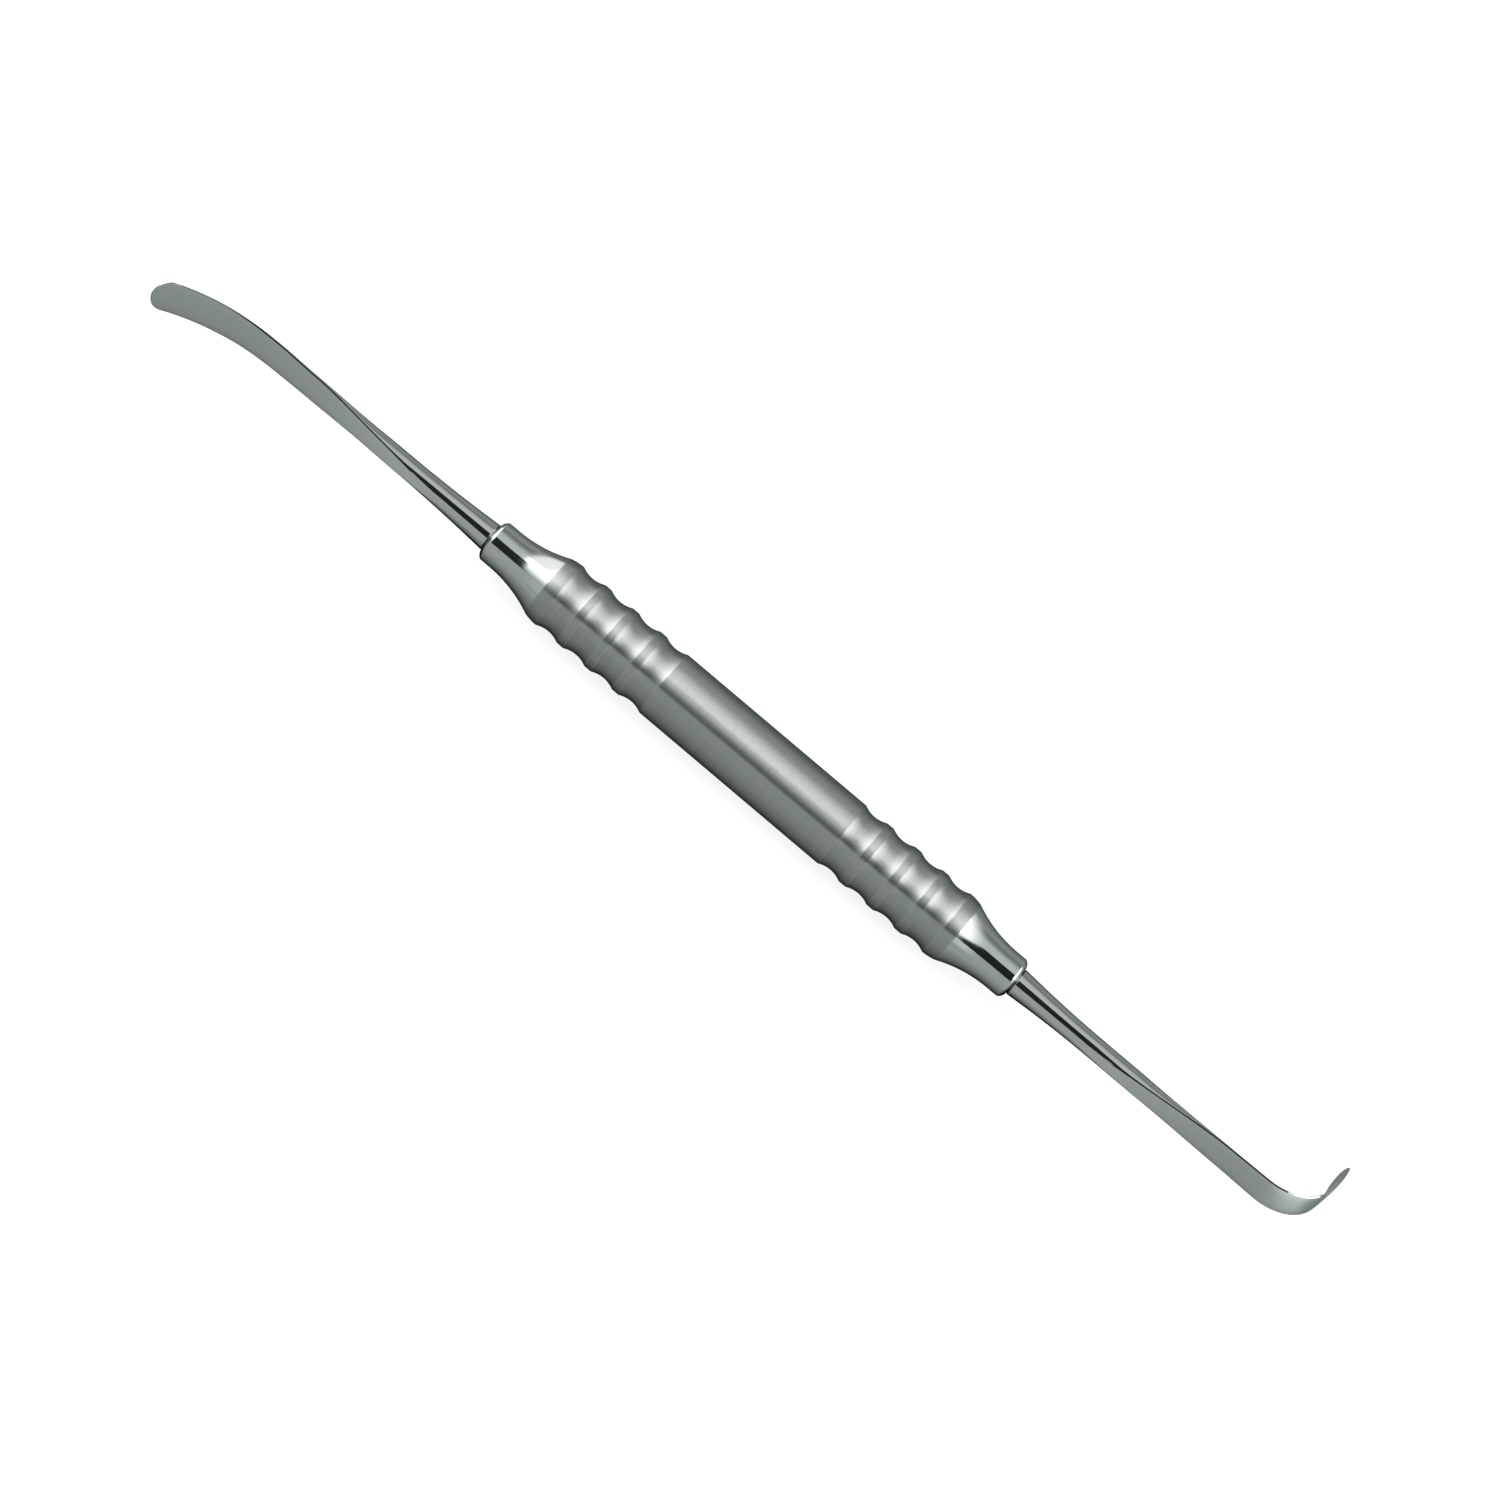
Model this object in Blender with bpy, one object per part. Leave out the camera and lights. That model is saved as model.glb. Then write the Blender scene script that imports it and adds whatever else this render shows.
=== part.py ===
# A double-ended sinus lift elevator: a turned handle with a grooved grip at each end, a gently curved
# blade at the -X end and a hooked blade at the +X end. Metres, +X along the handle towards the hook,
# +Z up. It lies as it rests: on the handle's lowest facet and on the lower corner of the hook.
# The origin is on that facet, in the middle of the handle.
import bpy
import bmesh
import numpy as np
from math import acos, asin, atan2, cos, hypot, pi, radians, sin, tan

# Handle, a solid of revolution about X
handle_length = 0.0824
handle_diameter = 0.0091
handle_sides = 24            # its flats touch the round of each diameter, and the lowest is level
nose_diameter = 0.00565      # plain cylinder at each end
nose_length = 0.0021
nose_dome_length = 0.00062   # bulged end of the nose, from its crease in to the seat of the shank
nose_dome_turn = 48          # degrees
nose_dome_steps = 4
seat_diameter = 0.004
cone_length = 0.00695        # hollow cone from the nose up to the grip
cone_top_diameter = 0.00864
cone_steps = 10
shoulder_length = 0.0018     # rounded land between the cone and the first groove
shoulder_steps = 4

# Grip grooves, the same at both ends
groove_count = 4
groove_pitch = 0.00435
groove_width = 0.0033
groove_depth = 0.0004
groove_steps = 8

# Sockets in the handle's ends, and the tangs pressed into them
tang_diameter = 0.0026
tang_length = 0.0075
tang_tip_chamfer = 0.0003
socket_chamfer = 0.0001
seat_clearance = 0.0003      # between tang and socket, and between shoulder and nose

# Both shanks
shank_root_diameter = 0.0038
shank_waist_diameter = 0.0028
shank_sides = 24
flare_rings = 9
straight_rings = 14
bend_rings = 19
end_rings = 8
end_turn = 84                # degrees of the free end's rounding, up to its small last facet

# Curved blade, distances from the nose along its middle line
curved_flare_length = 0.015
curved_flat_start = 0.006
curved_flat_end = 0.0292
curved_spread_start = 0.0178
curved_straight_length = 0.0325
curved_lead_radius = 0.046
curved_lead_angle = 4.5
curved_bend_radius = 0.0235
curved_bend_angle = 36.1
curved_base_width = 0.0036
curved_tip_width = 0.0049
curved_base_thickness = 0.0006
curved_tip_thickness = 0.00025
curved_end_length = 0.002    # the rounding at the free end

# Hooked blade
hooked_flare_length = 0.0126
hooked_flat_start = 0.0086
hooked_flat_end = 0.034
hooked_spread_start = 0.0198
hooked_straight_length = 0.0382
hooked_lead_radius = 0.0073
hooked_lead_angle = 74.1
hooked_bend_radius = 0.0183
hooked_bend_angle = 20.9
hooked_base_width = 0.0037
hooked_tip_width = 0.0045
hooked_base_thickness = 0.00045
hooked_tip_thickness = 0.00033
hooked_end_length = 0.0012


def steel(name, color, roughness):
    # a Principled metal
    material = bpy.data.materials.new(name)
    material.use_nodes = True
    shader = material.node_tree.nodes["Principled BSDF"]
    shader.inputs["Base Color"].default_value = (*color, 1)
    shader.inputs["Metallic"].default_value = 1
    shader.inputs["Roughness"].default_value = roughness
    material.diffuse_color = (*color, 1)
    return material


def place(name, bm, material, parent, location, rotation):
    # turns the mesh into a named object under the instrument's empty
    bmesh.ops.recalc_face_normals(bm, faces=bm.faces)
    mesh = bpy.data.meshes.new(name)
    bm.to_mesh(mesh)
    bm.free()
    mesh.materials.append(material)
    mesh.shade_smooth()
    mesh.set_sharp_from_angle(angle=radians(20))
    piece = bpy.data.objects.new(name, mesh)
    bpy.context.scene.collection.objects.link(piece)
    piece.parent = parent
    piece.location = location
    piece.rotation_euler = rotation
    return piece


def hollow_arc(x0, r0, x1, r1, steps):
    # circular arc that leaves (x0, r0) level and rises to (x1, r1), or falls when mirrored
    run, rise = x1 - x0, r1 - r0
    radius = (run**2 + rise**2) / (2 * abs(rise))
    turn = asin(abs(run) / radius)
    side = 1 if rise > 0 else -1
    return [(x0 + run * sin(turn * k / steps) / sin(turn),
             r0 + side * radius * (1 - cos(turn * k / steps))) for k in range(steps + 1)]


def bulged_arc(x0, r0, x1, r1, turn, steps):
    # circular arc from (x0, r0) out to (x1, r1) whose heading turns by that many degrees on the way
    radius = hypot(x1 - x0, r1 - r0) / (2 * sin(radians(turn / 2)))
    steepest = atan2(r1 - r0, x1 - x0) + radians(turn / 2)
    headings = [steepest - radians(turn) * k / steps for k in range(steps + 1)]
    return [(x0 + radius * (sin(steepest) - sin(a)), r0 + radius * (cos(a) - cos(steepest))) for a in headings]


def groove_arc(x0, x1, r, steps):
    # scalloped groove between two land edges
    half = (x1 - x0) / 2
    radius = (half**2 + groove_depth**2) / (2 * groove_depth)
    turn = asin(half / radius)
    return [((x0 + x1) / 2 + radius * sin(a), r - groove_depth + radius * (1 - cos(a)))
            for a in (turn * (2 * k / steps - 1) for k in range(steps + 1))]


def half_profile():
    # (distance from the end face, radius) from the socket's floor out to the handle's middle
    socket_radius = tang_diameter / 2 + seat_clearance
    nose, top, land = nose_diameter / 2, cone_top_diameter / 2, handle_diameter / 2
    points = [(tang_length, 0), (tang_length, socket_radius), (socket_chamfer, socket_radius),
              (0, socket_radius + socket_chamfer)]
    points += bulged_arc(0, seat_diameter / 2, nose_dome_length, nose, nose_dome_turn, nose_dome_steps)
    cone_end = nose_length + cone_length
    points += hollow_arc(nose_length, nose, cone_end, top, cone_steps)
    shoulder = hollow_arc(cone_end + shoulder_length, land, cone_end, top, shoulder_steps)
    points += shoulder[::-1][1:]
    start = cone_end + shoulder_length
    for k in range(groove_count):
        x = start + k * groove_pitch
        points += groove_arc(x, x + groove_width, land, groove_steps)
    return points


def make_handle(parent, material):
    # both halves of the profile, spun about X
    half = half_profile()
    end = handle_length / 2
    profile = [(d - end, r) for d, r in half] + [(end - d, r) for d, r in reversed(half)]
    kept = [profile[0]]
    for point in profile[1:]:
        if hypot(point[0] - kept[-1][0], point[1] - kept[-1][1]) > 1e-7:
            kept.append(point)
    bm = bmesh.new()
    phase = pi / handle_sides
    verts = [bm.verts.new((x, r * tan(phase), -r)) for x, r in kept]
    edges = [bm.edges.new(pair) for pair in zip(verts, verts[1:])]
    bmesh.ops.spin(bm, geom=verts + edges, cent=(0, 0, 0), axis=(1, 0, 0), angle=2 * pi,
                   steps=handle_sides, use_merge=True)
    bmesh.ops.remove_doubles(bm, verts=bm.verts, dist=1e-7)
    return place("handle", bm, material, parent, (0, 0, 0), (0, 0, 0))


def ease(s, start, end):
    # 0 before start, 1 after end, a half cosine between
    t = min(max((s - start) / (end - start), 0), 1)
    return (1 - cos(pi * t)) / 2


def mix(a, b, t):
    return a + (b - a) * t


def walk(s, straight, bends):
    # position and heading at distance s along a straight run and then arcs of (radius, degrees)
    x, z, heading = min(s, straight), 0, 0
    s -= straight
    for radius, degrees in bends:
        if s <= 0:
            break
        turn = min(s / radius, radians(degrees))
        x += radius * (sin(heading + turn) - sin(heading))
        z += radius * (cos(heading) - cos(heading + turn))
        heading += turn
        s -= radius * turn
    return x, z, heading


def section(half_width, half_depth, flat):
    # ellipse cut by two flats, as (across, depth) points; its top and bottom facets are the flats
    least = pi / shank_sides
    turn = max(least, acos(min(1, flat / half_depth)))
    steps = shank_sides // 2 - 1
    side = [turn + (pi - 2 * turn) * k / steps for k in range(steps + 1)]
    right = [(half_width * sin(a), half_depth * cos(a)) for a in side]
    return right + [(-w, -d) for w, d in right]


def make_blade(name, parent, material, location, rotation, flare, flat_start, flat_end, spread_start,
               straight, bends, base_width, tip_width, base_thickness, tip_thickness, end_length):
    # lofts a round shank into a flat blade; local +X runs out of the handle and the bend is towards +Z
    length = straight + sum(radius * radians(degrees) for radius, degrees in bends)
    root, waist = shank_root_diameter / 2, shank_waist_diameter / 2
    body = length - end_length
    first = seat_clearance
    stations = list(np.linspace(first, flare, flare_rings))
    stations += list(np.linspace(flare, straight, straight_rings + 1)[1:])
    stations += list(np.linspace(straight, body, bend_rings + 1)[1:])
    turns = np.linspace(0, radians(end_turn), end_rings + 1)[1:]
    stations += [body + end_length * sin(a) for a in turns]
    rings = []
    for r, s in ((tang_diameter / 2 - tang_tip_chamfer, -tang_length + seat_clearance),
                 (tang_diameter / 2, -tang_length + seat_clearance + tang_tip_chamfer),
                 (tang_diameter / 2, first)):
        rings.append([(s, w, d) for w, d in section(r, r, r)])
    for s in stations:
        round_radius = waist + (root - waist) * max(0, 1 - s / flare)**2
        thinning = ease(s, flat_start, flat_end)
        out = max(0, s - flat_end) / (length - flat_end)
        flat = mix(round_radius, mix(base_thickness, tip_thickness, out) / 2, thinning)
        wide = mix(round_radius, mix(base_width, tip_width, out) / 2, ease(s, spread_start, flat_end))
        wide *= max(0, 1 - max(0, (s - body) / end_length)**2)**0.5
        x, z, heading = walk(s, straight, bends)
        rings.append([(x - d * sin(heading), w, z + d * cos(heading))
                      for w, d in section(wide, round_radius, flat)])
    bm = bmesh.new()
    loops = [[bm.verts.new(p) for p in ring] for ring in rings]
    for a, b in zip(loops, loops[1:]):
        for k in range(len(a)):
            n = (k + 1) % len(a)
            bm.faces.new((a[k], a[n], b[n], b[k]))
    bm.faces.new(loops[0])
    bm.faces.new(loops[-1])
    return place(name, bm, material, parent, location, rotation)


def resting_roll(piece, axis_height):
    # roll about X at which the hook's lowest corner comes down to the floor, by halving
    across = np.array([abs(v.co.y) for v in piece.data.vertices])
    bent = np.array([v.co.z for v in piece.data.vertices])
    low, high = 0, pi / 2
    for _ in range(50):
        roll = (low + high) / 2
        if np.max(bent * sin(roll) + across * cos(roll)) < axis_height:
            low = roll
        else:
            high = roll
    return low


def main():
    for thing in list(bpy.data.objects):
        bpy.data.objects.remove(thing)
    grip = steel("satin_steel", (0.36, 0.39, 0.38), 0.32)
    blade = steel("blade_steel", (0.33, 0.36, 0.35), 0.28)
    axis_height = handle_diameter / 2
    instrument = bpy.data.objects.new("instrument", None)
    instrument.location = (0, 0, axis_height)
    bpy.context.scene.collection.objects.link(instrument)
    make_handle(instrument, grip)
    curved = make_blade("curved_blade", instrument, blade, (-handle_length / 2, 0, 0), (0, 0, 0),
                        curved_flare_length, curved_flat_start, curved_flat_end, curved_spread_start,
                        curved_straight_length, ((curved_lead_radius, curved_lead_angle),
                                                 (curved_bend_radius, curved_bend_angle)),
                        curved_base_width, curved_tip_width, curved_base_thickness,
                        curved_tip_thickness, curved_end_length)
    hooked = make_blade("hooked_blade", instrument, blade, (handle_length / 2, 0, 0), (0, 0, 0),
                        hooked_flare_length, hooked_flat_start, hooked_flat_end, hooked_spread_start,
                        hooked_straight_length, ((hooked_lead_radius, hooked_lead_angle),
                                                 (hooked_bend_radius, hooked_bend_angle)),
                        hooked_base_width, hooked_tip_width, hooked_base_thickness,
                        hooked_tip_thickness, hooked_end_length)
    # the hook bends away and down to the floor, and the curved blade bends the opposite way
    roll = resting_roll(hooked, axis_height)
    hooked.rotation_euler = (-pi / 2 - roll, 0, 0)
    curved.rotation_euler = (roll - pi / 2, 0, pi)
    bpy.context.view_layer.update()


main()
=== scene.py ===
# A double-ended sinus lift elevator of stainless steel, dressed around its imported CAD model.
# Metres, +X along the handle towards the hooked blade, +Z up, lying on a pale floor at Z = 0.
import bpy
import numpy as np
from math import cos, pi, radians, sin
from mathutils import Euler, Matrix, Vector


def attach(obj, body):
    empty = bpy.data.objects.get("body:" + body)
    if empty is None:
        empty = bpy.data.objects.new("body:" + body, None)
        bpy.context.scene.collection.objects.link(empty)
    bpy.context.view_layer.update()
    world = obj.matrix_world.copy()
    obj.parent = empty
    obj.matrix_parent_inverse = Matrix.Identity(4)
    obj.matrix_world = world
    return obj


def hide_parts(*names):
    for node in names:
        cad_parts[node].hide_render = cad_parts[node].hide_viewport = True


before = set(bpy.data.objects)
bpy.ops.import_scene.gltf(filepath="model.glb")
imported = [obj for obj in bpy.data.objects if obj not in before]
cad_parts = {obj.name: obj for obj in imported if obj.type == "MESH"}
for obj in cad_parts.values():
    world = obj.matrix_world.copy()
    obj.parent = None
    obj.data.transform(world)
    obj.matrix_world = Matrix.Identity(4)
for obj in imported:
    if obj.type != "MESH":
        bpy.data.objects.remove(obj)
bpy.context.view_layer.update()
print("frame loaded:", ", ".join(sorted(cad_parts)))


# Meshes

sharpAngle = radians(40)  # edges sharper than this are not smoothed over
sameSpot = 1e-7  # metres; points of a profile that are closer than this count as one
legShare = 0.45  # a rounded corner takes at most this share of the leg on each side of it


def gridMesh(name, rings, attributes, material):
    # Puts a closed surface into an object. rings is an array (stations, points round, 3); each ring
    # is joined to the next, and the first and last are closed by a fan round their own middle.
    stations, around = rings.shape[:2]
    index = np.arange(stations * around).reshape(stations, around)
    a, b = index[:-1], np.roll(index[:-1], -1, axis=1)
    c, d = np.roll(index[1:], -1, axis=1), index[1:]
    quads = np.stack([a, b, c, d], axis=-1).reshape(-1, 4)
    startPole, endPole = stations * around, stations * around + 1
    first, last = index[0], index[-1]
    startFan = np.stack([np.full(around, startPole), np.roll(first, -1), first], axis=-1)
    endFan = np.stack([np.full(around, endPole), last, np.roll(last, -1)], axis=-1)
    points = np.vstack([rings.reshape(-1, 3), rings[0].mean(axis=0), rings[-1].mean(axis=0)])
    mesh = bpy.data.meshes.new(name)
    mesh.from_pydata(points.tolist(), [], quads.tolist() + startFan.tolist() + endFan.tolist())
    for attribute, values in attributes.items():
        full = np.concatenate([values.reshape(-1), [values[0].mean(), values[-1].mean()]])
        layer = mesh.attributes.new(attribute, "FLOAT", "POINT")
        layer.data.foreach_set("value", full.astype(np.float32))
    mesh.materials.append(material)
    mesh.shade_smooth()
    mesh.set_sharp_from_angle(angle=sharpAngle)
    piece = bpy.data.objects.new(name, mesh)
    bpy.context.scene.collection.objects.link(piece)
    print(name, "made:", len(mesh.polygons), "faces")
    return piece


def ease(values, start, end):
    # 0 before start, 1 after end, a half cosine between
    return (1 - np.cos(pi * np.clip((values - start) / (end - start), 0, 1))) / 2


def roundedCorners(points, reach, steps, sharpTurn):
    # Each turn of a polyline sharper than sharpTurn becomes a quadratic curve from reach before the
    # corner to reach after it: (1-t)^2 A + 2t(1-t) C + t^2 B, with the corner C as its handle.
    legs = np.diff(points, axis=0)
    lengths = np.hypot(legs[:, 0], legs[:, 1])
    heading = np.unwrap(np.arctan2(legs[:, 1], legs[:, 0]))
    sharp = np.abs(np.diff(heading)) > sharpTurn
    ways = legs / lengths[:, None]
    shorter = np.minimum(lengths[:-1], lengths[1:])
    near = np.where(sharp, np.minimum(reach, legShare * shorter), 0)[:, None]
    corner = points[1:-1]
    before, after = corner - ways[:-1] * near, corner + ways[1:] * near
    t = np.linspace(0, 1, steps + 1)[None, :, None]
    curves = (1 - t)**2 * before[:, None] + 2 * t * (1 - t) * corner[:, None] + t**2 * after[:, None]
    kept = sharp[:, None] | (np.arange(steps + 1) == 0)
    # 1 in the middle of each rounded corner: the steel polishes the corners by it and lightens their
    #                                         colour, a painted highlight
    cornerPolishAndHighlight = np.sin(pi * t[..., 0]) * sharp[:, None]
    rounded = np.vstack([points[:1], curves[kept], points[-1:]])
    return rounded, np.concatenate([[0], cornerPolishAndHighlight[kept], [0]])


# Handle

handleSizes = {
    "length": 0.0824, "diameter": 0.0091,
    "noseDiameter": 0.00565, "noseLength": 0.0021,
    "domeLength": 0.00062, "domeTurn": radians(48), "seatDiameter": 0.004,
    "coneLength": 0.00695, "coneTopDiameter": 0.00864, "shoulderLength": 0.0018,
    "grooves": 4, "groovePitch": 0.00435, "grooveWidth": 0.0033, "grooveDepth": 0.0004,
    "socketDiameter": 0.0032, "socketChamfer": 0.0001, "socketDepth": 0.0075,
    "socketPole": 0.0004, "cornerReach": 0.00007, "cornerSteps": 4, "sharpTurn": radians(9),
    "domeSteps": 10, "coneSteps": 28, "shoulderSteps": 8, "grooveSteps": 20, "barrelSteps": 12,
    "around": 144, "coneSatin": 0.12, "edgePolish": 0.2, "polishMargin": 0.00002,
}


def hollowArc(x0, r0, x1, r1, steps):
    # circular arc that leaves (x0, r0) level and meets (x1, r1): centre straight above or below x0
    run, rise = x1 - x0, r1 - r0
    radius = (run**2 + rise**2) / (2 * abs(rise))
    turn = np.linspace(0, np.arcsin(abs(run) / radius), steps + 1)
    return np.stack([x0 + np.sign(run) * radius * np.sin(turn),
                     r0 + np.sign(rise) * radius * (1 - np.cos(turn))], axis=1)


def bulgedArc(x0, r0, x1, r1, turn, steps):
    # circular arc between two points whose heading falls by turn on the way, half of it on each side
    # of the chord: x = x0 + R (sin h0 - sin h), r = r0 + R (cos h - cos h0)
    radius = np.hypot(x1 - x0, r1 - r0) / (2 * np.sin(turn / 2))
    steepest = np.arctan2(r1 - r0, x1 - x0) + turn / 2
    heading = steepest - turn * np.linspace(0, 1, steps + 1)
    return np.stack([x0 + radius * (np.sin(steepest) - np.sin(heading)),
                     r0 + radius * (np.cos(heading) - np.cos(steepest))], axis=1)


def grooveArc(x0, x1, r, depth, steps):
    # circular scallop through both land edges, depth deep in the middle
    half = (x1 - x0) / 2
    radius = (half**2 + depth**2) / (2 * depth)
    turn = np.linspace(-1, 1, steps + 1) * np.arcsin(half / radius)
    return np.stack([(x0 + x1) / 2 + radius * np.sin(turn),
                     r - depth + radius * (1 - np.cos(turn))], axis=1)


def handleProfile(s):
    # (distance from the end face, radius) from the socket's floor out to the middle of the barrel
    socket, nose = s["socketDiameter"] / 2, s["noseDiameter"] / 2
    top, land = s["coneTopDiameter"] / 2, s["diameter"] / 2
    coneEnd = s["noseLength"] + s["coneLength"]
    start = coneEnd + s["shoulderLength"]
    parts = [
        [[s["socketDepth"], s["socketPole"]], [s["socketDepth"], socket], [s["socketChamfer"], socket],
         [0, socket + s["socketChamfer"]]],
        bulgedArc(0, s["seatDiameter"] / 2, s["domeLength"], nose, s["domeTurn"], s["domeSteps"]),
        hollowArc(s["noseLength"], nose, coneEnd, top, s["coneSteps"]),
        hollowArc(start, land, coneEnd, top, s["shoulderSteps"])[::-1][1:],
    ]
    for k in range(s["grooves"]):
        left = start + k * s["groovePitch"]
        parts.append(grooveArc(left, left + s["grooveWidth"], land, s["grooveDepth"], s["grooveSteps"]))
    last = start + (s["grooves"] - 1) * s["groovePitch"] + s["grooveWidth"]
    barrel = np.linspace(last, s["length"] / 2, s["barrelSteps"] + 1)[1:]
    parts.append(np.stack([barrel, np.full(len(barrel), land)], axis=1))
    points = np.vstack(parts)
    gap = np.hypot(*np.diff(points, axis=0).T)
    return points[np.concatenate([[True], gap > sameSpot])]


def makeHandle(s, material):
    # the profile carried round the X axis: (x, r sin a, height - r cos a)
    half, edge = roundedCorners(handleProfile(s), s["cornerReach"], s["cornerSteps"], s["sharpTurn"])
    end = s["length"] / 2
    x = np.concatenate([half[:, 0] - end, (end - half[:, 0])[::-1][1:]])
    r = np.concatenate([half[:, 1], half[::-1, 1][1:]])
    edge = np.concatenate([edge, edge[::-1][1:]])
    angle = np.arange(s["around"]) / s["around"] * 2 * pi
    height = s["diameter"] / 2
    rings = np.stack([np.broadcast_to(x[:, None], (len(x), len(angle))),
                      r[:, None] * np.sin(angle), height - r[:, None] * np.cos(angle)], axis=-1)
    # the noses and sockets are polished, the cones ever less so towards their wide end, and the grip
    # and barrel are satin with burnished edges; the steel also lightens the edges' colour, a painted
    # highlight
    fromEnd, coneEnd = end - np.abs(x), s["noseLength"] + s["coneLength"]
    polished = 1 - s["coneSatin"] * ease(fromEnd, s["noseLength"], coneEnd)
    onCone = fromEnd < coneEnd - s["polishMargin"]
    polish = np.maximum(onCone * polished, s["edgePolish"] * edge)
    whole = np.ones((1, len(angle)))
    # the edge mark lightens the colour at the corners in the steel, a painted highlight along the land
    # edges
    attributes = {"polish": polish[:, None] * whole, "edge": edge[:, None] * whole}
    return gridMesh("turnedHandle", rings, attributes, material)


# Blades

curvedSizes = {
    "flare": 0.015, "flatStart": 0.006, "flatEnd": 0.0292, "spreadStart": 0.0178,
    "straight": 0.0325, "bends": ((0.046, 4.5), (0.0235, 36.1)),
    "baseWidth": 0.0036, "tipWidth": 0.0049, "baseThickness": 0.0006, "tipThickness": 0.00025,
    "endLength": 0.002, "bevelEnd": 0.0425,
}
hookedSizes = {
    "flare": 0.0126, "flatStart": 0.0086, "flatEnd": 0.034, "spreadStart": 0.0198,
    "straight": 0.0382, "bends": ((0.0073, 74.1), (0.0183, 20.9)),
    "baseWidth": 0.0037, "tipWidth": 0.0045, "baseThickness": 0.00045, "tipThickness": 0.00033,
    "endLength": 0.0012, "bevelEnd": 0.06,
}
shankSizes = {
    "rootDiameter": 0.0038, "waistDiameter": 0.0028, "tangDiameter": 0.0026, "tangLength": 0.0069,
    "tangChamfer": 0.0003, "tangEndShare": 0.8, "seam": 0.00006, "rootChamfer": 0.0001,
    "leastFlat": radians(7.5), "bevel": 0.0002, "bevelTilt": radians(40), "bevelMarkRange": radians(20),
    "bevelLoss": 0.8, "bevelFade": 0.005, "leastSide": 0.3, "mostSide": 0.85, "mostFlat": 0.4,
    "crown": 0.00006, "crownWidth": 0.0008, "crownShare": 0.3, "crownReach": 0.6,
    "support": 0.00003, "supportShare": 0.2,  # a last row of points close to the rim keeps it crisp
    "flareStations": 120, "bendStations": 110, "endStations": 28,
    "endTurn": radians(88), "endGap": 0.00001,
}
# where the points of a quarter section stand, as shares of the flat, the bevel and the side
flatSpread = (0, 0.3, 0.55, 0.7, 0.82, 0.92, 1)
bevelSpread = (0.15, 0.85)
sideSpread = (0, 0.12, 0.4, 0.7, 1)
restingRoll = 0.2224064  # radians: the CAD's roll that brings the hook's lower corner to the floor


def walkAlong(s, straight, bends):
    # position and heading at distances s along a straight run and then arcs of (radius, degrees):
    # on each arc x grows by R (sin(h + t) - sin h) and z by R (cos h - cos(h + t))
    x, z, heading = np.minimum(s, straight), np.zeros_like(s), np.zeros_like(s)
    left = s - straight
    for radius, turnDegrees in bends:
        turn = np.clip(left / radius, 0, radians(turnDegrees))
        x = x + radius * (np.sin(heading + turn) - np.sin(heading))
        z = z + radius * (np.cos(heading) - np.cos(heading + turn))
        heading = heading + turn
        left = left - radius * turn
    return x, z, heading


def bladeSection(halfWidth, halfDepth, flat, crown, bevel, s):
    # A quarter of an ellipse (w sin a, d cos a) cut by the flat at depth f, then mirrored twice. The
    # flat falls towards its rim by crown times a squared share of the crown's width. Where the ellipse
    # leaves the flat at angle q, steeper than the bevel's own p, a bevel of length c runs from
    # c sin(q - p) / sin q before the corner to c sin p / sin q plus the crown after it, and less
    # where the side or the flat has no room for it.
    w, d, f = halfWidth[:, None], halfDepth[:, None], flat[:, None]
    crown, bevel = crown[:, None], bevel[:, None]
    corner = np.maximum(s["leastFlat"], np.arccos(np.clip(f / d, -1, 1)))
    leaving = np.arctan2(d * np.sin(corner), w * np.cos(corner))
    before = bevel * np.sin(np.maximum(0, leaving - s["bevelTilt"])) / np.sin(leaving)
    after = bevel * np.sin(np.minimum(leaving, s["bevelTilt"])) / np.sin(leaving)
    sideLeft = np.hypot(w * (1 - np.sin(corner)), d * np.cos(corner))
    room = np.maximum(s["leastSide"] * sideLeft, s["mostSide"] * sideLeft - crown)
    flatRoom = s["mostFlat"] * w * np.sin(corner)
    fits = np.minimum(1, np.minimum(room / after, flatRoom / (before + 1e-9)))
    rim = w * np.sin(corner) - before * fits
    support = np.minimum(s["support"], s["supportShare"] * rim)
    out = np.concatenate([(rim - support) * np.array([flatSpread]), rim], axis=1)
    band = np.minimum(s["crownWidth"], s["crownReach"] * rim)
    fall = crown * np.clip((out - rim) / band + 1, 0, 1)**2
    flatPart = np.stack([out, np.minimum(f, d * np.sqrt(1 - (out / w)**2)) - fall], axis=-1)
    speed = np.hypot(w * np.cos(corner), d * np.sin(corner))
    sideStart = corner + np.minimum((after * fits + crown) / speed, s["mostSide"] * (pi / 2 - corner))
    sideAngle = sideStart + (pi / 2 - sideStart) * np.array([sideSpread])
    sidePart = np.stack([w * np.sin(sideAngle), d * np.cos(sideAngle)], axis=-1)
    share = np.array(bevelSpread)[None, :, None]
    bevelPart = flatPart[:, -1:] * (1 - share) + sidePart[:, :1] * share
    quarter = np.concatenate([flatPart, bevelPart, sidePart], axis=1)
    # the bevel's edge mark, which the steel polishes and lightens in colour, a painted highlight along the
    # bevel
    bevelled = np.clip((leaving - s["bevelTilt"]) / s["bevelMarkRange"], 0, 1)
    onBevel = [0] * len(flatSpread) + [1] * (len(bevelSpread) + 2) + [0] * (len(sideSpread) - 1)
    edge = bevelled * np.array(onBevel)
    half = np.concatenate([quarter, quarter[:, ::-1][:, 1:] * [1, -1]], axis=1)
    halfEdge = np.concatenate([edge, edge[:, ::-1][:, 1:]], axis=1)
    ring = np.concatenate([half, -half[:, 1:-1]], axis=1)
    return ring, np.concatenate([halfEdge, halfEdge[:, 1:-1]], axis=1)


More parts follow.
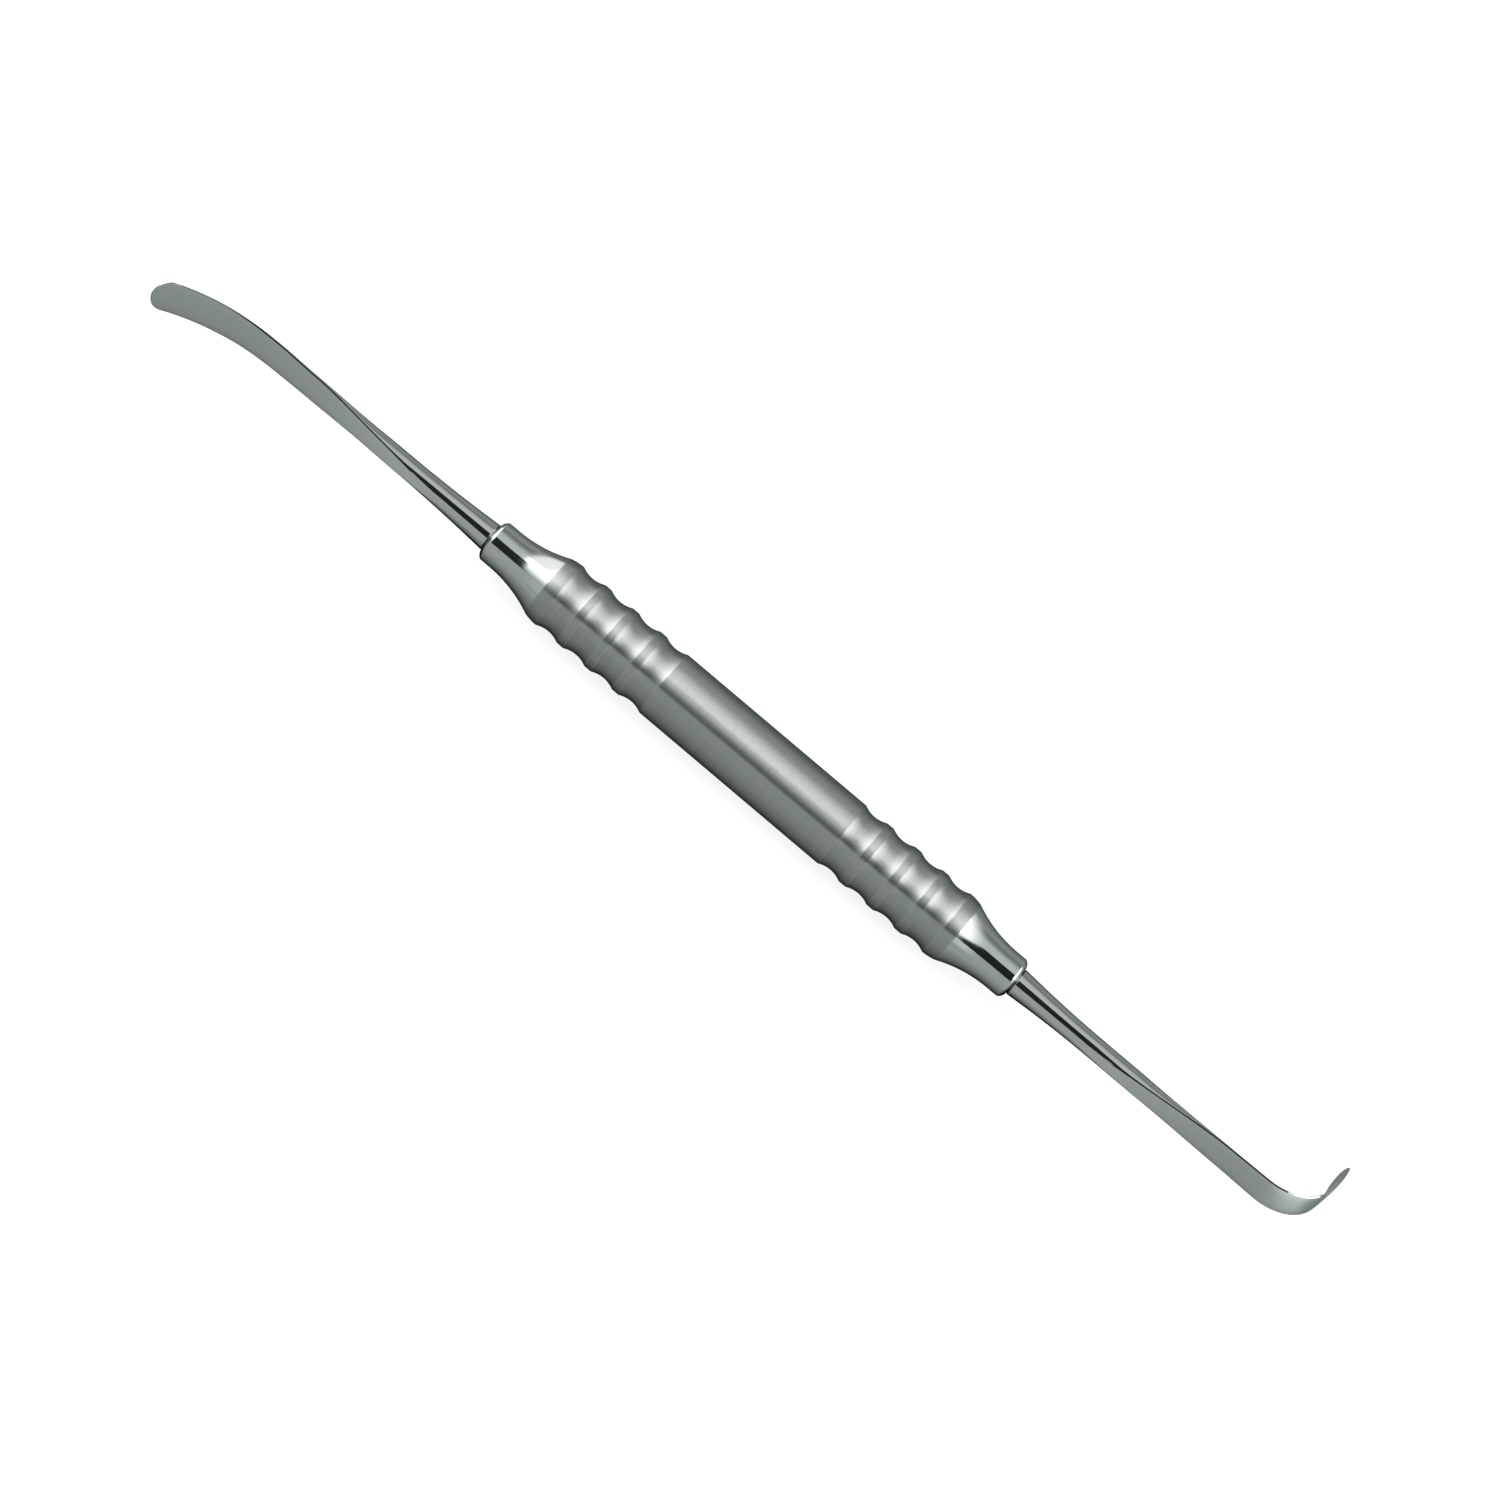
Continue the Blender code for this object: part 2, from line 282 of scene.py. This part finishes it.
def makeBlade(name, s, shank, material, side, rotation):
    # The section carried along the blade's middle line. At distance s the round radius is
    # waist + (root - waist) (1 - s/flare)^2, and the flats and the width ease in along the way.
    length = s["straight"] + sum(radius * radians(turn) for radius, turn in s["bends"])
    body = length - s["endLength"]
    root, waist = shank["rootDiameter"] / 2, shank["waistDiameter"] / 2
    start = shank["seam"] + shank["rootChamfer"]
    endTurns = np.linspace(0, shank["endTurn"], shank["endStations"])[1:]
    along = np.concatenate([
        np.linspace(start, s["straight"], shank["flareStations"]),
        np.linspace(s["straight"], body, shank["bendStations"])[1:],
        body + (s["endLength"] - shank["endGap"]) * np.sin(endTurns),
    ])
    roundRadius = waist + (root - waist) * np.maximum(0, 1 - along / s["flare"])**2
    thinning = ease(along, s["flatStart"], s["flatEnd"])
    spreading = ease(along, s["spreadStart"], s["flatEnd"])
    out = np.maximum(0, along - s["flatEnd"]) / (length - s["flatEnd"])
    thin = (s["baseThickness"] + (s["tipThickness"] - s["baseThickness"]) * out) / 2
    broad = (s["baseWidth"] + (s["tipWidth"] - s["baseWidth"]) * out) / 2
    flat = roundRadius + (thin - roundRadius) * thinning
    wide = roundRadius + (broad - roundRadius) * spreading
    wide = wide * np.sqrt(np.maximum(0, 1 - np.maximum(0, (along - body) / s["endLength"])**2))
    # the tang and the small chamfer at the shank's root come first, all round
    tang, tangEnd = shank["tangDiameter"] / 2, -shank["tangLength"]
    firstRadii = [tang * shank["tangEndShare"], tang, tang, root - shank["rootChamfer"]]
    firstAlong = [tangEnd, tangEnd + shank["tangChamfer"], shank["seam"], shank["seam"]]
    along = np.concatenate([firstAlong, along])
    roundRadius = np.concatenate([firstRadii, roundRadius])
    flat = np.concatenate([firstRadii, flat])
    wide = np.concatenate([firstRadii, wide])
    thinned = np.concatenate([np.zeros(4), thinning])
    crown = thinned * np.minimum(shank["crown"], shank["crownShare"] * flat)
    fading = ease(along, s["bevelEnd"] - shank["bevelFade"], s["bevelEnd"])
    bevel = shank["bevel"] * (1 - shank["bevelLoss"] * fading)
    ring, edge = bladeSection(wide, roundRadius, flat, crown, bevel, shank)
    x, z, heading = walkAlong(along, s["straight"], s["bends"])
    across, depth = ring[..., 0], ring[..., 1]
    local = np.stack([x[:, None] - depth * np.sin(heading)[:, None], across,
                      z[:, None] + depth * np.cos(heading)[:, None]], axis=-1)
    turned = np.array(rotation.to_matrix())
    placed = local @ turned.T + [side * handleSizes["length"] / 2, 0, handleSizes["diameter"] / 2]
    placed[..., 2] = np.maximum(placed[..., 2], 0)  # the corner that rests on the floor
    attributes = {"polish": np.maximum((1 - thinned)[:, None], edge), "edge": edge}
    return gridMesh(name, placed, attributes, material)


# Materials

def newGroup(name, inputs, outputs):
    # an empty shader node group with named float or colour sockets
    group = bpy.data.node_groups.new(name, "ShaderNodeTree")
    for label, kind, value in inputs:
        socket = group.interface.new_socket(label, in_out="INPUT", socket_type=kind)
        if value is not None:
            socket.default_value = value
    for label, kind in outputs:
        group.interface.new_socket(label, in_out="OUTPUT", socket_type=kind)
    return group, group.nodes.new("NodeGroupInput"), group.nodes.new("NodeGroupOutput")


def calc(tree, operation, *values, clamp=False):
    # a Math node fed by sockets or plain numbers
    node = tree.nodes.new("ShaderNodeMath")
    node.operation, node.use_clamp = operation, clamp
    for slot, value in zip(node.inputs, values):
        if isinstance(value, (int, float)):
            slot.default_value = value
        else:
            tree.links.new(value, slot)
    return node.outputs[0]


def mixedColor(tree, share, first, second):
    # a colour Mix node; each colour is a socket or three numbers
    node = tree.nodes.new("ShaderNodeMix")
    node.data_type = "RGBA"
    tree.links.new(share, node.inputs["Factor"])
    for label, value in (("A", first), ("B", second)):
        if isinstance(value, tuple):
            node.inputs[label].default_value = (*value, 1)
        else:
            tree.links.new(value, node.inputs[label])
    return node.outputs["Result"]


def ramp(tree, value, start, end, first=0.0, last=1.0, kind="SMOOTHSTEP"):
    # a Map Range node from first at start to last at end
    node = tree.nodes.new("ShaderNodeMapRange")
    node.interpolation_type = kind
    for label, number in zip(("From Min", "From Max", "To Min", "To Max"), (start, end, first, last)):
        node.inputs[label].default_value = number
    tree.links.new(value, node.inputs["Value"])
    return node.outputs["Result"]


def step(tree, value, at, soft, rising=True):
    # a smooth step centred on at, as wide as soft
    ends = (0.0, 1.0) if rising else (1.0, 0.0)
    return ramp(tree, value, at - soft / 2, at + soft / 2, *ends)


def over(tree, below, mask, level):
    # a number laid over another one through a mask
    blend = tree.nodes.new("ShaderNodeMix")
    for label, value in (("A", below), ("B", level), ("Factor", mask)):
        if isinstance(value, (int, float)):
            blend.inputs[label].default_value = value
        else:
            tree.links.new(value, blend.inputs[label])
    return blend.outputs["Result"]


def stretchedNoise(tree, vector, scales, detail, roughness):
    # noise on coordinates that are stretched by a different factor along each axis
    mapping = tree.nodes.new("ShaderNodeMapping")
    mapping.inputs["Scale"].default_value = scales
    tree.links.new(vector, mapping.inputs["Vector"])
    noise = tree.nodes.new("ShaderNodeTexNoise")
    noise.inputs["Scale"].default_value = 1
    noise.inputs["Detail"].default_value = detail
    noise.inputs["Roughness"].default_value = roughness
    tree.links.new(mapping.outputs["Vector"], noise.inputs["Vector"])
    return noise.outputs["Fac"]


workedSettings = {
    # each noise's scales along X, Y and Z, its detail and its roughness
    "coarseLines": ((2900, 90, 90), 2, 0.5), "fineLines": ((8000, 260, 260), 1, 0.5), "fineShare": 0.3,
    "strokes": ((350, 9000, 9000), 3, 0.5), "specks": ((3200, 3800, 3800), 3, 0.7),
    "blotch": ((140, 260, 260), 3, 0.6),
}


def makeFinishGroup(s):
    # Surface of worked steel. Puts out a height made of turning lines that run round the X axis or
    # polishing strokes that run along it, a slow blotch, and the grain of both for the colour.
    group, into, out = newGroup("workedSteel", [
        ("Lines", "NodeSocketFloat", 1), ("Strokes", "NodeSocketFloat", 1)],
        [("Height", "NodeSocketFloat"), ("Blotch", "NodeSocketFloat"), ("Grain", "NodeSocketFloat")])
    place = group.nodes.new("ShaderNodeTexCoord").outputs["Object"]
    coarse = stretchedNoise(group, place, *s["coarseLines"])
    fine = stretchedNoise(group, place, *s["fineLines"])
    lines = calc(group, "ADD", calc(group, "MULTIPLY", coarse, 1 - s["fineShare"]),
                 calc(group, "MULTIPLY", fine, s["fineShare"]))
    strokes = stretchedNoise(group, place, *s["strokes"])
    specks = stretchedNoise(group, place, *s["specks"])
    height = calc(group, "ADD", calc(group, "MULTIPLY", lines, into.outputs["Lines"]),
                  calc(group, "MULTIPLY", strokes, into.outputs["Strokes"]))
    group.links.new(height, out.inputs["Height"])
    group.links.new(stretchedNoise(group, place, *s["blotch"]), out.inputs["Blotch"])
    weighted = calc(group, "MULTIPLY_ADD", calc(group, "SUBTRACT", lines, 0.5), into.outputs["Lines"],
                    calc(group, "MULTIPLY", calc(group, "SUBTRACT", specks, 0.5), into.outputs["Strokes"]))
    group.links.new(weighted, out.inputs["Grain"])
    return group


def makeSteel(name, finish, settings):
    # A Principled metal. The polish attribute turns it from satin to mirror-like, the edge attribute
    # lightens the colour at the corners as a painted highlight, and the finish group gives lines, strokes,
    # grain and blotches.
    material = bpy.data.materials.new(name)
    material.use_nodes = True
    tree = material.node_tree
    shader = tree.nodes["Principled BSDF"]
    shader.inputs["Metallic"].default_value = 1
    shader.inputs["Specular Tint"].default_value = (*settings["grazingTint"], 1)
    if settings["anisotropy"] > 0:
        # the turning lines spread the light along X, a quarter turn from a tangent that runs round it
        tangent = tree.nodes.new("ShaderNodeTangent")
        tangent.direction_type, tangent.axis = "RADIAL", "X"
        tree.links.new(tangent.outputs["Tangent"], shader.inputs["Tangent"])
        shader.inputs["Anisotropic"].default_value = settings["anisotropy"]
        shader.inputs["Anisotropic Rotation"].default_value = 0.25
    polish = tree.nodes.new("ShaderNodeAttribute")
    polish.attribute_name = "polish"
    edge = tree.nodes.new("ShaderNodeAttribute")
    edge.attribute_name = "edge"
    worked = tree.nodes.new("ShaderNodeGroup")
    worked.node_tree = finish
    satin = calc(tree, "SUBTRACT", 1.0, polish.outputs["Fac"])
    tree.links.new(calc(tree, "MULTIPLY", satin, settings["lines"]), worked.inputs["Lines"])
    tree.links.new(calc(tree, "MULTIPLY_ADD", satin, settings["strokes"] - settings["polishStrokes"],
                        settings["polishStrokes"]), worked.inputs["Strokes"])
    color = mixedColor(tree, polish.outputs["Fac"], settings["satinColor"], settings["color"])
    # painted highlight: the corners' colour is lightened towards the edge colour, standing in for the
    # glint they catch
    color = mixedColor(tree, calc(tree, "MULTIPLY", edge.outputs["Fac"], settings["edgeHighlightShare"]), color,
                       settings["edgeHighlightColor"])
    grain = tree.nodes.new("ShaderNodeVectorMath")
    grain.operation = "SCALE"
    tree.links.new(color, grain.inputs[0])
    tree.links.new(calc(tree, "MULTIPLY_ADD", worked.outputs["Grain"], settings["grain"], 1.0),
                   grain.inputs["Scale"])
    tree.links.new(grain.outputs["Vector"], shader.inputs["Base Color"])
    rough = calc(tree, "MULTIPLY_ADD", satin, settings["satin"] - settings["mirror"], settings["mirror"])
    blotch = calc(tree, "MULTIPLY", calc(tree, "SUBTRACT", worked.outputs["Blotch"], 0.5),
                  settings["unevenness"])
    tree.links.new(calc(tree, "ADD", rough, blotch, clamp=True), shader.inputs["Roughness"])
    bump = tree.nodes.new("ShaderNodeBump")
    bump.inputs["Distance"].default_value = settings["bumpDistance"]
    bump.inputs["Strength"].default_value = 1
    tree.links.new(worked.outputs["Height"], bump.inputs["Height"])
    tree.links.new(bump.outputs["Normal"], shader.inputs["Normal"])
    return material


# the edge colour and its share lighten the corners, a painted highlight; the corners' lower roughness is
# real polish
handleFinish = {
    "color": (0.335, 0.382, 0.376), "satinColor": (0.268, 0.306, 0.301), "edgeHighlightColor": (0.42, 0.47, 0.46),
    "grazingTint": (0.3, 0.32, 0.32), "mirror": 0.06, "satin": 0.34, "anisotropy": 1.0,
    "unevenness": 0.05, "lines": 1.0, "strokes": 0.0, "polishStrokes": 0.08, "grain": 0.25,
    "edgeHighlightShare": 0.15, "bumpDistance": 0.000012,
}
bladeFinish = {
    "color": (0.335, 0.38, 0.374), "satinColor": (0.335, 0.38, 0.374), "edgeHighlightColor": (0.38, 0.43, 0.42),
    "grazingTint": (0.3, 0.32, 0.32), "mirror": 0.06, "satin": 0.33, "anisotropy": 0.0,
    "unevenness": 0.05, "lines": 0.0, "strokes": 0.35, "polishStrokes": 0.1, "grain": 0.35,
    "edgeHighlightShare": 0.3, "bumpDistance": 0.000006,
}

finishGroup = makeFinishGroup(workedSettings)
handleSteel = makeSteel("satinGripSteel", finishGroup, handleFinish)
bladeSteel = makeSteel("bladeSteel", finishGroup, bladeFinish)

handle = makeHandle(handleSizes, handleSteel)
curvedBlade = makeBlade("curvedBladeSteel", curvedSizes, shankSizes, bladeSteel, -1,
                        Euler((restingRoll - pi / 2, 0, pi)))
hookedBlade = makeBlade("hookedBladeSteel", hookedSizes, shankSizes, bladeSteel, 1,
                        Euler((-pi / 2 - restingRoll, 0, 0)))
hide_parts("handle")
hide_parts("curved_blade")
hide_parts("hooked_blade")
for piece in (handle, curvedBlade, hookedBlade):
    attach(piece, "root")


# Floor, light and camera

floorSettings = {
    "size": 6.0, "color": 0.2, "roughness": 0.9, "cameraGlow": 0.86,
    # What the steel sees of the floor, a glow painted for glossy rays with painted shadow near the
    # instrument. In front of the handle it is dark up to from and pales over reach to far. Close beside
    # the blades it goes from near to tip, darker by shade under them, a painted shadow, with the curved
    # blade's bend followed from bendAt on. Past the hook it is a painted bright glow, and behind the
    # instrument it goes from level to end.
    "handle": {"from": 0.0018, "reach": 0.006, "far": 0.76, "end": 0.05, "soft": 0.014},
    "blade": {"near": 0.92, "tip": 0.67, "tipAt": 0.09, "shade": 0.9, "from": 0.0008, "reach": 0.003,
              "bendAt": 0.0737, "bend": 19.5},
    "hook": {"level": 1.75, "at": 0.089, "soft": 0.01, "shadeTo": 0.08, "shadeSoft": 0.006},
    "behind": {"at": 0.002, "soft": 0.001, "level": 0.52, "from": 0.07, "to": 0.085, "end": 0.95},
    "close": {"at": 0.045, "soft": 0.03},
}


def makeFloor(s):
    # A plain pale plane. Its own glow for camera rays lifts it to white and leaves the soft shadow.
    # Glossy rays see a painted glow with painted shadow instead: far (1 - exp(-(distance - from) / reach))
    # in front of the handle, and beside a blade its level times 1 - shade exp(-(distance - from) / reach).
    mesh = bpy.data.meshes.new("floor")
    half = s["size"] / 2
    mesh.from_pydata([(-half, -half, 0), (half, -half, 0), (half, half, 0), (-half, half, 0)], [],
                     [(0, 1, 2, 3)])
    floor = bpy.data.objects.new("floor", mesh)
    bpy.context.scene.collection.objects.link(floor)
    material = bpy.data.materials.new("paleFloor")
    material.use_nodes = True
    tree = material.node_tree
    shader = tree.nodes["Principled BSDF"]
    shader.inputs["Roughness"].default_value = s["roughness"]
    shader.inputs["Specular IOR Level"].default_value = 0.0
    shader.inputs["Emission Color"].default_value = (1, 1, 1, 1)
    path = tree.nodes.new("ShaderNodeLightPath")
    glossy = path.outputs["Is Glossy Ray"]
    tree.links.new(calc(tree, "MULTIPLY", calc(tree, "SUBTRACT", 1.0, glossy), s["color"]),
                   shader.inputs["Base Color"])
    axes = tree.nodes.new("ShaderNodeSeparateXYZ")
    tree.links.new(tree.nodes.new("ShaderNodeTexCoord").outputs["Object"], axes.inputs["Vector"])
    x, y = axes.outputs["X"], axes.outputs["Y"]
    parts = ("handle", "blade", "hook", "behind", "close")
    handle, blade, hook, behind, close = [s[part] for part in parts]

    def fading(distance, part):
        past = calc(tree, "MAXIMUM", calc(tree, "SUBTRACT", distance, part["from"]), 0.0)
        return calc(tree, "EXPONENT", calc(tree, "MULTIPLY", past, -1 / part["reach"]))

    away, along = calc(tree, "ABSOLUTE", y), calc(tree, "ABSOLUTE", x)
    seen = calc(tree, "MULTIPLY_ADD", fading(away, handle), -handle["far"], handle["far"])
    beside = ramp(tree, along, handle["end"], blade["tipAt"], blade["near"], blade["tip"], "LINEAR")
    past = calc(tree, "MAXIMUM", calc(tree, "SUBTRACT", -blade["bendAt"], x), 0.0)
    bent = calc(tree, "MULTIPLY", calc(tree, "MULTIPLY", past, past), blade["bend"])
    shade = fading(calc(tree, "ABSOLUTE", calc(tree, "ADD", y, bent)), blade)
    shade = calc(tree, "MULTIPLY", shade,
                 step(tree, x, hook["shadeTo"], hook["shadeSoft"], rising=False))
    beside = calc(tree, "MULTIPLY", beside, calc(tree, "MULTIPLY_ADD", shade, -blade["shade"], 1.0))
    near = step(tree, away, close["at"], close["soft"], rising=False)
    mask = calc(tree, "MULTIPLY", step(tree, along, handle["end"], handle["soft"]), near)
    seen = over(tree, seen, mask, beside)
    mask = calc(tree, "MULTIPLY", step(tree, x, hook["at"], hook["soft"]), near)
    seen = over(tree, seen, mask, hook["level"])
    backLevel = ramp(tree, x, behind["from"], behind["to"], behind["level"], behind["end"])
    seen = over(tree, seen, step(tree, y, behind["at"], behind["soft"]), backLevel)
    # white glow for camera rays; for glossy rays the painted glow with its painted shadow near the
    # instrument
    glow = calc(tree, "ADD", calc(tree, "MULTIPLY", path.outputs["Is Camera Ray"], s["cameraGlow"]),
                calc(tree, "MULTIPLY", glossy, seen))
    tree.links.new(glow, shader.inputs["Emission Strength"])
    mesh.materials.append(material)
    return floor


# The light tent. Rise is the angle from the front horizon over the zenith (90) to the back horizon
# (180), and tilt the angle towards +X, both in degrees. Later sheets overlay earlier ones. Each has
# its level and where its rise and tilt start and end, with the softness there; None is open.
tent = {
    "walls": 1.0,
    "warm": {"from": 0.9, "to": 2.4, "color": (1.11, 1.0, 1.02)},
    "sheets": {
        "front": (0.83, None, (45, 8), None, None),
        "frontLeft": (1.0, None, (45, 8), None, (-38, 20)),
        "frontRight": (1.36, (12, 14), (45, 8), (32, 12), (52, 5)),
        "frontFlag": (0.39, None, (45, 8), (52, 5), None),
        "leftEnd": (1.5, (-25, 10), (60, 10), None, (-70, 8)),
        "rightEnd": (2.1, (-25, 10), (75, 10), (70, 8), None),
        "flap": (0.0, (16, 5), (40, 4), (-4.2, 3), (1.4, 3)),
        "back": (0.61, (114, 10), None, None, None),
        "backSeam": (0.42, (125, 8), (140, 8), None, None),
        "backFoot": (0.36, (174, 12), None, None, None),
        "overhead": (1.18, (74.2, 3), (104.4, 10), None, None),
        "leftSoft": (2.2, (49, 22), (172, 20), None, (-26, 5)),
        "leftNear": (3.5, (63, 11), (102, 10), None, (-26, 5)),
        "leftFar": (6.3, (63, 11), (172, 20), None, (-48, 8)),
        "rightSoft": (2.33, (49, 14), (160, 24), (34, 18), None),
        "right": (6.1, (63, 7), (155, 24), (44.6, 7), None),
    },
    # the dark slot in front of the overhead sheet, whose upper rim falls away past slantFrom
    "slot": {"level": 0.039, "low": (35.2, 2), "high": (74.2, 2.4), "left": (-29.9, 5.6),
             "right": (48.7, 5.6), "slantFrom": 25.5, "slant": 1.14},
}


def makeTent(s):
    # Everything follows from the direction alone: rise = atan2(z, -y), tilt = asin(x). A sheet's mask
    # is the product of a smooth step for each of its sides.
    world = bpy.data.worlds.new("lightTent")
    world.use_nodes = True
    bpy.context.scene.world = world
    tree = world.node_tree
    background = tree.nodes["Background"]
    axes = tree.nodes.new("ShaderNodeSeparateXYZ")
    tree.links.new(tree.nodes.new("ShaderNodeTexCoord").outputs["Generated"], axes.inputs["Vector"])
    forward = calc(tree, "MULTIPLY", axes.outputs["Y"], -1.0)
    around = calc(tree, "MULTIPLY", calc(tree, "ARCTAN2", axes.outputs["Z"], forward), 180 / pi)
    rise = calc(tree, "WRAP", around, 270.0, -90.0)  # from straight down over the front, round to it
    tilt = calc(tree, "MULTIPLY", calc(tree, "ARCSINE", axes.outputs["X"]), 180 / pi)

    def cover(light, level, sides):
        masks = [step(tree, value, *side, rising) for value, side, rising in sides if side]
        mask = masks[0]
        for other in masks[1:]:
            mask = calc(tree, "MULTIPLY", mask, other)
        return over(tree, light, mask, level)

    light = s["walls"]
    for level, low, high, left, right in s["sheets"].values():
        light = cover(light, level, [(rise, low, True), (rise, high, False),
                                     (tilt, left, True), (tilt, right, False)])
    slot = s["slot"]
    past = calc(tree, "MAXIMUM", calc(tree, "SUBTRACT", tilt, slot["slantFrom"]), 0.0)
    slanted = calc(tree, "MULTIPLY_ADD", past, slot["slant"], rise)
    light = cover(light, slot["level"], [(rise, slot["low"], True), (slanted, slot["high"], False),
                                         (tilt, slot["left"], True), (tilt, slot["right"], False)])
    warm = tree.nodes.new("ShaderNodeMix")
    warm.data_type = "RGBA"
    warm.inputs["A"].default_value = (1, 1, 1, 1)
    warm.inputs["B"].default_value = (*s["warm"]["color"], 1)
    tree.links.new(ramp(tree, light, s["warm"]["from"], s["warm"]["to"]), warm.inputs["Factor"])
    tree.links.new(warm.outputs["Result"], background.inputs["Color"])
    # the camera itself sees plain white
    path = tree.nodes.new("ShaderNodeLightPath")
    tree.links.new(over(tree, light, path.outputs["Is Camera Ray"], 1.0), background.inputs["Strength"])


cameraSettings = {
    "elevation": 53.5, "tilt": 1.5, "roll": 40.207, "distance": 0.48, "lens": 96, "sensor": 36,
    "aimAlong": -0.000962, "aimUp": 0.000609, "clipStart": 0.01, "clipEnd": 20,
}


def makeCamera(s, axisHeight):
    # It looks at the handle's axis from the front and above, turned by roll in its own picture plane
    a, g, roll = radians(s["elevation"]), radians(s["tilt"]), radians(s["roll"])
    u, w = Vector((1, 0, 0)), Vector((0, sin(a), cos(a)))
    d = Vector((0, -cos(a), sin(a)))
    level, towards = u * cos(g) - d * sin(g), u * sin(g) + d * cos(g)
    right, up = level * cos(roll) + w * sin(roll), w * cos(roll) - level * sin(roll)
    aim = Vector((0, 0, axisHeight)) + u * s["aimAlong"] + w * s["aimUp"]
    camera = bpy.data.objects.new("camera", bpy.data.cameras.new("camera"))
    bpy.context.scene.collection.objects.link(camera)
    camera.data.lens, camera.data.sensor_width = s["lens"], s["sensor"]
    camera.data.clip_start, camera.data.clip_end = s["clipStart"], s["clipEnd"]
    turn = Matrix((right, up, towards)).transposed().to_4x4()
    camera.matrix_world = Matrix.Translation(aim + towards * s["distance"]) @ turn
    bpy.context.scene.camera = camera


makeFloor(floorSettings)
makeTent(tent)
makeCamera(cameraSettings, handleSizes["diameter"] / 2)
bpy.context.scene.view_settings.view_transform = "Standard"
print("floor, light and camera made")
